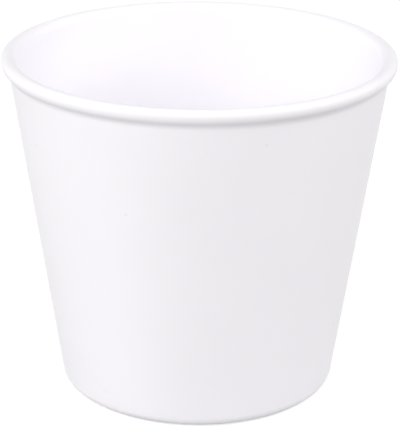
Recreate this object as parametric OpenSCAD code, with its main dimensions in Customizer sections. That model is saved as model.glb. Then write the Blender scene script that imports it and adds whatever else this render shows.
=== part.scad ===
// Reusable plastic cup, injection moulded in one piece.
// A straight tapered wall ends in a solid bead that stands out all round as the drinking lip,
// and the floor is raised on a low standing ring, so the cup rests on a narrow flat.
// Lengths are in millimetres. The axis is Z, and the standing ring rests on z = 0.

/* [Piece] */
// Piece to draw

/* [Cup] */
// Diameter across the outside of the lip
rim_d = 90; // [84:0.5:98]
// Height from the table to the crest of the lip
height = 79.5; // [68:0.5:110]
// Diameter of the wall's outer face where it would meet the table with no rounding
foot_d = 63.2; // [56:0.2:70]
// Colour of the plastic
plastic = "#f0edf2";

/* [Wall and floor] */
// Thickness of the wall, square to its faces
wall_t = 2; // [1.6:0.1:2.8]
// Thickness of the floor
floor_t = 2.2; // [1.6:0.1:3]
// Radius in the corner between the inside wall and the floor
inside_r = 3; // [1:0.5:8]

/* [Lip] */
// Radius of the bead from its crest to its widest point
lip_r = 1.4; // [1.2:0.1:1.8]
// Radius of the bead's underside, below its widest point
lip_low_r = 2.2; // [1.4:0.1:3]
// How far the bead stands out beyond the wall's outer face, measured at the crest's height
lip_out = 1.2; // [0.8:0.1:1.5]
// Radius of the hollow where the bead's underside runs into the wall
lip_fillet = 2.5; // [0.8:0.1:4]

/* [Foot] */
// Radius of the outer corner between the wall and the standing ring
foot_r = 3; // [1:0.1:5]
// Width of the flat that the cup stands on
foot_flat = 1.6; // [0.8:0.1:3]
// Radius of the two edges of the step behind the flat
step_r = 0.4; // [0.2:0.05:0.5]
// Height of the floor's underside above the table
recess_h = 1; // [1:0.1:2]

/* [Moulding gate] */
// Diameter of the shallow dish round the gate mark under the floor
gate_dish_d = 8; // [5:0.5:14]
// Depth of the dish
gate_dish_h = 0.5; // [0.3:0.05:0.8]
// Diameter of the trimmed stub in the middle of the dish
gate_stub_d = 1.4; // [0.8:0.1:2.4]
// Length of the stub below the top of the dish
gate_stub_h = 0.3; // [0.1:0.05:0.5]

/* [Hidden] */
// Facets round the axis
$fn = 96;
// Largest turn between two points of an arc in the section, in degrees
arc_turn = 10;

rim_r = rim_d / 2;
floor_z = recess_h + floor_t;

// The wall leans out from the axis, and its outer face runs from wall_foot to the crest's height.
wall_foot = [foot_d / 2, 0];
draft = atan((rim_r - lip_out - wall_foot.x) / height);
wall_up = [sin(draft), cos(draft)];
wall_out = [cos(draft), -sin(draft)];

// The bead's outer round is centred below the crest, and its underside level with that centre,
// so the two meet at the widest point.
lip_c = [rim_r - lip_r, height - lip_r];
lip_low_c = [rim_r - lip_low_r, lip_c.y];

// The inner round starts at the same crest and ends where it meets the inside wall.
lip_in_r = ((lip_c - wall_foot) * wall_out - (height - lip_c.y) * sin(draft) + wall_t) / (1 - sin(draft));
lip_in_c = [lip_c.x, height - lip_in_r];

// The hollow below the bead touches both the wall's outer face and the bead's underside.
hollow_off = lip_fillet - (lip_low_c - wall_foot) * wall_out;
hollow_down = sqrt(pow(lip_low_r + lip_fillet, 2) - pow(hollow_off, 2));
hollow_c = lip_low_c + hollow_off * wall_out - hollow_down * wall_up;
hollow_turn = atan2(lip_low_c.y - hollow_c.y, lip_low_c.x - hollow_c.x);

// Centre of an arc inside the wall's outer face, at a height and a depth square to that face.
function from_wall(z, depth) = [wall_foot.x + (z * sin(draft) - depth) / cos(draft), z];

foot_c = from_wall(foot_r, foot_r);
inside_c = from_wall(floor_z + inside_r, wall_t + inside_r);

// The standing flat lies just inside the rounded outer corner, and the step up to the floor's
// underside lies inside the flat.
step_x = foot_c.x - foot_flat - step_r;

// Points of an arc from one direction to another. With skip = 1 it leaves out the first point,
// because the arc before it ends there.
function arc(centre, r, from, to, skip = 0) =
    let (n = ceil(abs(to - from) / arc_turn))
    [for (i = [skip : n])
        let (a = from + (to - from) * i / n)
        centre + r * [cos(a), sin(a)]];

// Half section of the cup without its gate mark, from the underside round the lip to the floor.
module cup_section() {
    polygon(concat(
        [[0, recess_h]],
        arc([step_x - step_r, recess_h - step_r], step_r, 90, 0),
        arc([step_x + step_r, step_r], step_r, 180, 270),
        arc(foot_c, foot_r, -90, -draft),
        arc(hollow_c, lip_fillet, 180 - draft, hollow_turn),
        arc(lip_low_c, lip_low_r, hollow_turn - 180, 0, 1),
        arc(lip_c, lip_r, 0, 90, 1),
        arc(lip_in_c, lip_in_r, 90, 180 - draft, 1),
        arc(inside_c, inside_r, -draft, -90),
        [[0, floor_z]]
    ));
}

// Shallow dish in the floor's underside, a cap of a large ball.
module gate_dish() {
    ball_r = (pow(gate_dish_d / 2, 2) + pow(gate_dish_h, 2)) / (2 * gate_dish_h);
    translate([0, 0, recess_h + gate_dish_h - ball_r])
        sphere(r = ball_r);
}

// What is left of the gate where the moulding was trimmed, rooted in the floor above the dish.
module gate_stub() {
    root = (floor_t - gate_dish_h) / 2;
    translate([0, 0, recess_h + gate_dish_h - gate_stub_h])
        cylinder(d = gate_stub_d, h = gate_stub_h + root);
}

module cup() {
    color(plastic) {
        difference() {
            rotate_extrude()
                cup_section();
            gate_dish();
        }
        gate_stub();
    }
}

cup();
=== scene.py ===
import math

import bpy
from mathutils import Matrix, Vector


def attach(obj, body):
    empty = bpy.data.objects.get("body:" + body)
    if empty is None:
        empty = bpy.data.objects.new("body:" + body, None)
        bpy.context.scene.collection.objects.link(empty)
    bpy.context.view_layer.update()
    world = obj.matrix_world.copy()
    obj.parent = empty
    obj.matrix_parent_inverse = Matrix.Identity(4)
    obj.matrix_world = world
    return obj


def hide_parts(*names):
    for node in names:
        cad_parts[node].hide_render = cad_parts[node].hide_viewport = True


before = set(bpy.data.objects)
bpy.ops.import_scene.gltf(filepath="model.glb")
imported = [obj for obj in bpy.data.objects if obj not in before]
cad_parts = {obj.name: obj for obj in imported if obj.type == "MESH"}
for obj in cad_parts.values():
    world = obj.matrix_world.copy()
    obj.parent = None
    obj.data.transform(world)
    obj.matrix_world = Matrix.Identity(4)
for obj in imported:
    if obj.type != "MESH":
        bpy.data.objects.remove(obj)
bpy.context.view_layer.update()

# Camera
# It stands some 45 cm in front of the cup, looks down into the mouth through a long lens, and
# is turned half a degree about its own axis. The 36 mm sensor lies along the picture's height.
PICTURE_HEIGHT_PX = 427
FOCAL_LENGTH_PX = 2055.32
SENSOR_MM = 36.0
CAMERA_PLACE = (0.000405, -0.449524, 0.210207)
LOOKING_DOWN = math.radians(20.734)
TURNED = math.radians(0.4784)

camera_data = bpy.data.cameras.new("camera")
camera_data.sensor_width = SENSOR_MM
camera_data.lens = FOCAL_LENGTH_PX * SENSOR_MM / PICTURE_HEIGHT_PX
camera = bpy.data.objects.new("camera", camera_data)
bpy.context.scene.collection.objects.link(camera)
camera.matrix_world = (
    Matrix.Translation(CAMERA_PLACE)
    @ Matrix.Rotation(math.pi / 2 - LOOKING_DOWN, 4, "X")
    @ Matrix.Rotation(TURNED, 4, "Z")
)
bpy.context.scene.camera = camera
bpy.context.scene.view_settings.view_transform = "Standard"

# Cup
# One injection moulding in white polypropylene: a tapered wall of even thickness, a solid bead
# as the lip, a floor raised on a standing ring, and the gate mark in its shallow dish below.
RIM_D = 0.090  # across the outside of the lip
HEIGHT = 0.0795
FOOT_D = 0.0632  # across the wall's outer face, carried down to the table
WALL_T = 0.002
FLOOR_T = 0.0022
INSIDE_R = 0.003  # in the corner between the inside wall and the floor
LIP_R = 0.0014  # of the bead, from its crest to its widest point
LIP_LOW_R = 0.0022  # of the bead's underside
LIP_OUT = 0.0012  # how far the bead stands out of the wall, at the crest's height
LIP_FILLET = 0.0025  # of the hollow under the bead
FOOT_R = 0.003  # of the corner between the wall and the standing ring
FOOT_FLAT = 0.0016  # width of the flat that the cup stands on
STEP_R = 0.0004  # of the two edges of the step behind the flat
RECESS_H = 0.001  # from the table to the floor's underside
DISH_D = 0.008
DISH_H = 0.0005
STUB_D = 0.0014
STUB_H = 0.0003
STUB_EDGE = 0.00012

# Steps along each stretch of the section, and round the axis
STUB_STEPS = 4
DISH_STEPS = 16
UNDERSIDE_STEPS = 16
EDGE_STEPS = 6
FLAT_STEPS = 2
FOOT_STEPS = 12
WALL_STEPS = 28
HOLLOW_STEPS = 12
LIP_STEPS = 14
CORNER_STEPS = 10
INSIDE_STEPS = 14
ROUND_STEPS = 224
FLAT_HOLD = 0.00012  # from a straight stretch's end points to the arcs beside it


def towards(angle):
    return Vector((math.cos(angle), math.sin(angle)))


def arc(centre, radius, start, end, steps):
    return [centre + radius * towards(start + (end - start) * i / steps) for i in range(steps + 1)]


def straight(start, end, steps):
    """Points between two arcs, with one close to each end to keep the shading of the flat."""
    hold = (end - start).normalized() * FLAT_HOLD
    first, last = start + hold, end - hold
    return [first.lerp(last, i / steps) for i in range(steps + 1)]


def cup_section():
    """Half section, from the middle of the underside round the lip to the middle of the floor."""
    draft = math.atan((RIM_D / 2 - LIP_OUT - FOOT_D / 2) / HEIGHT)
    wall_foot = Vector((FOOT_D / 2, 0))
    wall_up = Vector((math.sin(draft), math.cos(draft)))
    wall_out = Vector((math.cos(draft), -math.sin(draft)))
    floor_z = RECESS_H + FLOOR_T

    def from_wall(z, depth):
        return Vector((wall_foot.x + (z * math.sin(draft) - depth) / math.cos(draft), z))

    lip = Vector((RIM_D / 2 - LIP_R, HEIGHT - LIP_R))
    lip_in_depth = (lip - wall_foot).dot(wall_out) - LIP_R * math.sin(draft) + WALL_T
    lip_in_r = lip_in_depth / (1 - math.sin(draft))
    lip_in = Vector((lip.x, HEIGHT - lip_in_r))
    lip_low = Vector((RIM_D / 2 - LIP_LOW_R, lip.y))
    hollow_off = LIP_FILLET - (lip_low - wall_foot).dot(wall_out)
    hollow_down = math.sqrt((LIP_LOW_R + LIP_FILLET) ** 2 - hollow_off ** 2)
    hollow = lip_low + hollow_off * wall_out - hollow_down * wall_up
    hollow_turn = math.atan2(lip_low.y - hollow.y, lip_low.x - hollow.x)
    foot = from_wall(FOOT_R, FOOT_R)
    inside = from_wall(floor_z + INSIDE_R, WALL_T + INSIDE_R)
    step_x = foot.x - FOOT_FLAT - STEP_R

    dish_top = RECESS_H + DISH_H
    ball_r = ((DISH_D / 2) ** 2 + DISH_H ** 2) / (2 * DISH_H)
    ball = Vector((0, dish_top - ball_r))
    dish_from = math.acos(STUB_D / 2 / ball_r)
    dish_to = math.acos(DISH_D / 2 / ball_r)
    stub_z = dish_top - STUB_H
    stub_corner = Vector((STUB_D / 2 - STUB_EDGE, stub_z + STUB_EDGE))

    runs = [
        [Vector((0, stub_z))],
        arc(stub_corner, STUB_EDGE, -math.pi / 2, 0, STUB_STEPS),
        arc(ball, ball_r, dish_from, dish_to, DISH_STEPS),
        straight(Vector((DISH_D / 2, RECESS_H)), Vector((step_x - STEP_R, RECESS_H)), UNDERSIDE_STEPS),
        arc(Vector((step_x - STEP_R, RECESS_H - STEP_R)), STEP_R, math.pi / 2, 0, EDGE_STEPS),
        arc(Vector((step_x + STEP_R, STEP_R)), STEP_R, math.pi, 1.5 * math.pi, EDGE_STEPS),
        straight(Vector((step_x + STEP_R, 0)), Vector((foot.x, 0)), FLAT_STEPS),
        arc(foot, FOOT_R, -math.pi / 2, -draft, FOOT_STEPS),
        straight(foot + FOOT_R * wall_out, hollow - LIP_FILLET * wall_out, WALL_STEPS),
        arc(hollow, LIP_FILLET, math.pi - draft, hollow_turn, HOLLOW_STEPS),
        arc(lip_low, LIP_LOW_R, hollow_turn - math.pi, 0, LIP_STEPS)[1:],
        arc(lip, LIP_R, 0, math.pi / 2, LIP_STEPS)[1:],
        arc(lip_in, lip_in_r, math.pi / 2, math.pi - draft, LIP_STEPS)[1:],
        straight(lip_in - lip_in_r * wall_out, inside + INSIDE_R * wall_out, WALL_STEPS),
        arc(inside, INSIDE_R, -draft, -math.pi / 2, CORNER_STEPS),
        straight(Vector((inside.x, floor_z)), Vector((0, floor_z)), INSIDE_STEPS)[:-1],
        [Vector((0, floor_z))],
    ]
    return [point for run in runs for point in run]


def turned_mesh(name, section, steps):
    """Closed mesh of a half section whose first and last points lie on the axis."""
    verts = [(0, 0, section[0].y)]
    for point in section[1:-1]:
        for side in range(steps):
            turn = 2 * math.pi * side / steps
            verts.append((point.x * math.cos(turn), point.x * math.sin(turn), point.y))
    verts.append((0, 0, section[-1].y))
    last = len(verts) - 1
    rings = len(section) - 2
    faces = []
    for side in range(steps):
        beside = (side + 1) % steps
        faces.append((0, 1 + beside, 1 + side))
        faces.append((last, last - steps + side, last - steps + beside))
        for ring in range(rings - 1):
            low, high = 1 + ring * steps, 1 + (ring + 1) * steps
            faces.append((low + side, low + beside, high + beside, high + side))
    mesh = bpy.data.meshes.new(name)
    mesh.from_pydata(verts, [], faces)
    mesh.shade_smooth()
    mesh.update()
    return mesh


# The plastic is white with a very slight lavender tint. Scales are in cells to the metre.
TONE_LOW = (0.917, 0.901, 0.933, 1)
TONE_HIGH = (0.931, 0.915, 0.947, 1)
SPECK_TONE = (0.86, 0.84, 0.87, 1)
NOISE_LOW = 0.3
NOISE_HIGH = 0.7
FLOW_SCALE = 45
FLOW_DETAIL = 3
SPECK_SCALE = 95
SPECK_EDGE = 0.05
SPECK_CORE = 0.02
PATCH_SCALE = 160
PATCH_DETAIL = 4
SATIN_SMOOTH = 0.55
SATIN_ROUGH = 0.65
GRAIN_SCALE = 2600
GRAIN_DETAIL = 2
GRAIN_STRENGTH = 0.15
GRAIN_DEPTH = 0.00005
PLASTIC_IOR = 1.49


def cup_plastic():
    material = bpy.data.materials.new("white_polypropylene")
    material.use_nodes = True
    nodes, links = material.node_tree.nodes, material.node_tree.links
    shader = nodes["Principled BSDF"]
    place = nodes.new("ShaderNodeTexCoord")

    def unevenness(scale, detail):
        noise = nodes.new("ShaderNodeTexNoise")
        noise.inputs["Scale"].default_value = scale
        noise.inputs["Detail"].default_value = detail
        links.new(place.outputs["Object"], noise.inputs["Vector"])
        return noise.outputs["Fac"]

    # Slow unevenness of the pigment, as the melt flowed from the gate up to the lip
    tone = nodes.new("ShaderNodeValToRGB")
    tone.color_ramp.elements[0].position = NOISE_LOW
    tone.color_ramp.elements[0].color = TONE_LOW
    tone.color_ramp.elements[1].position = NOISE_HIGH
    tone.color_ramp.elements[1].color = TONE_HIGH
    links.new(unevenness(FLOW_SCALE, FLOW_DETAIL), tone.inputs["Fac"])

    # A few specks of slightly darker pigment, most of them under a millimetre across
    cells = nodes.new("ShaderNodeTexVoronoi")
    cells.inputs["Scale"].default_value = SPECK_SCALE
    links.new(place.outputs["Object"], cells.inputs["Vector"])
    speck = nodes.new("ShaderNodeMapRange")
    speck.inputs["From Min"].default_value = SPECK_EDGE
    speck.inputs["From Max"].default_value = SPECK_CORE
    links.new(cells.outputs["Distance"], speck.inputs["Value"])
    colour = nodes.new("ShaderNodeMix")
    colour.data_type = "RGBA"
    colour.inputs["B"].default_value = SPECK_TONE
    links.new(speck.outputs["Result"], colour.inputs["Factor"])
    links.new(tone.outputs["Color"], colour.inputs["A"])
    links.new(colour.outputs["Result"], shader.inputs["Base Color"])

    # Satin from a fine spark-eroded mould, a little rougher in patches where it is handled
    satin = nodes.new("ShaderNodeMapRange")
    satin.inputs["From Min"].default_value = NOISE_LOW
    satin.inputs["From Max"].default_value = NOISE_HIGH
    satin.inputs["To Min"].default_value = SATIN_SMOOTH
    satin.inputs["To Max"].default_value = SATIN_ROUGH
    links.new(unevenness(PATCH_SCALE, PATCH_DETAIL), satin.inputs["Value"])
    links.new(satin.outputs["Result"], shader.inputs["Roughness"])

    # Fine grain that the mould's surface leaves, under half a millimetre across
    grain = nodes.new("ShaderNodeBump")
    grain.inputs["Strength"].default_value = GRAIN_STRENGTH
    grain.inputs["Distance"].default_value = GRAIN_DEPTH
    links.new(unevenness(GRAIN_SCALE, GRAIN_DETAIL), grain.inputs["Height"])
    links.new(grain.outputs["Normal"], shader.inputs["Normal"])

    shader.inputs["IOR"].default_value = PLASTIC_IOR
    return material


cup = bpy.data.objects.new("cup_skin", turned_mesh("cup_skin", cup_section(), ROUND_STEPS))
bpy.context.scene.collection.objects.link(cup)
cup.data.materials.append(cup_plastic())
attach(cup, "root")
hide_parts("cup")

# Floor
# A wide round table top of plain white board. The camera, and what the cup mirrors, see it as
# white paper that is darkened only where the cup shades it.
TABLE_R = 0.9
TABLE_STEPS = 96
BOARD_TONE = 0.55
BOARD_ROUGHNESS = 0.9
BOARD_SHINE = 0.0
BOARD_LIFT = 0.58


def background_rays(nodes, links):
    """Output that is 1 on the rays that show the background, directly, mirrored or through glass."""
    rays = nodes.new("ShaderNodeLightPath")
    seen = rays.outputs["Is Camera Ray"]
    for kind in ("Is Glossy Ray", "Is Transmission Ray"):
        either = nodes.new("ShaderNodeMath")
        either.operation = "MAXIMUM"
        links.new(seen, either.inputs[0])
        links.new(rays.outputs[kind], either.inputs[1])
        seen = either.outputs[0]
    return seen


def white_board():
    material = bpy.data.materials.new("white_board")
    material.use_nodes = True
    nodes, links = material.node_tree.nodes, material.node_tree.links
    shader = nodes["Principled BSDF"]
    shader.inputs["Base Color"].default_value = (BOARD_TONE, BOARD_TONE, BOARD_TONE, 1)
    shader.inputs["Roughness"].default_value = BOARD_ROUGHNESS
    shader.inputs["Specular IOR Level"].default_value = BOARD_SHINE
    lift = nodes.new("ShaderNodeMath")
    lift.operation = "MULTIPLY"
    lift.inputs[1].default_value = BOARD_LIFT
    links.new(background_rays(nodes, links), lift.inputs[0])
    glow = nodes.new("ShaderNodeEmission")
    links.new(lift.outputs[0], glow.inputs["Strength"])
    both = nodes.new("ShaderNodeAddShader")
    links.new(shader.outputs[0], both.inputs[0])
    links.new(glow.outputs[0], both.inputs[1])
    links.new(both.outputs[0], nodes["Material Output"].inputs["Surface"])
    return material


table_edge = [TABLE_R * towards(2 * math.pi * side / TABLE_STEPS) for side in range(TABLE_STEPS)]
floor_mesh = bpy.data.meshes.new("floor")
floor_mesh.from_pydata([(point.x, point.y, 0) for point in table_edge], [], [tuple(range(TABLE_STEPS))])
floor_mesh.materials.append(white_board())
floor = bpy.data.objects.new("floor", floor_mesh)
bpy.context.scene.collection.objects.link(floor)

# Studio light
# An even white room, and four square soft boxes in front and to both sides, each aimed at the
# middle of the cup. No lamp stands behind it.
ROOM_LEVEL = 0.40
BACKGROUND_LEVEL = 1.0
BOX_WIDTH = 0.9
LIGHT_PASSES = 12

# The white walls inside the cup light each other, so light is followed for more passes than usual
bpy.context.scene.cycles.diffuse_bounces = LIGHT_PASSES


def white_room():
    world = bpy.data.worlds.new("room")
    world.use_nodes = True
    nodes, links = world.node_tree.nodes, world.node_tree.links
    backdrop = nodes["Background"]
    backdrop.inputs["Color"].default_value = (1, 1, 1, 1)
    level = nodes.new("ShaderNodeMapRange")
    level.inputs["To Min"].default_value = ROOM_LEVEL
    level.inputs["To Max"].default_value = BACKGROUND_LEVEL
    links.new(background_rays(nodes, links), level.inputs["Value"])
    links.new(level.outputs["Result"], backdrop.inputs["Strength"])
    return world


def soft_box(name, place, watts):
    lamp = bpy.data.lights.new(name, "AREA")
    lamp.shape = "SQUARE"
    lamp.size = BOX_WIDTH
    lamp.energy = watts
    box = bpy.data.objects.new(name, lamp)
    bpy.context.scene.collection.objects.link(box)
    box.location = place
    aim = Vector((0, 0, HEIGHT / 2)) - Vector(place)
    box.rotation_euler = aim.to_track_quat("-Z", "Y").to_euler()


bpy.context.scene.world = white_room()
soft_box("front_left", place=(-0.84, -1.0, 0.79), watts=6.8)
soft_box("left", place=(-1.43, 0.0, 0.50), watts=5.8)
soft_box("front", place=(0.0, -1.23, 0.90), watts=7.4)
soft_box("right", place=(1.34, 0.0, 0.75), watts=9.8)
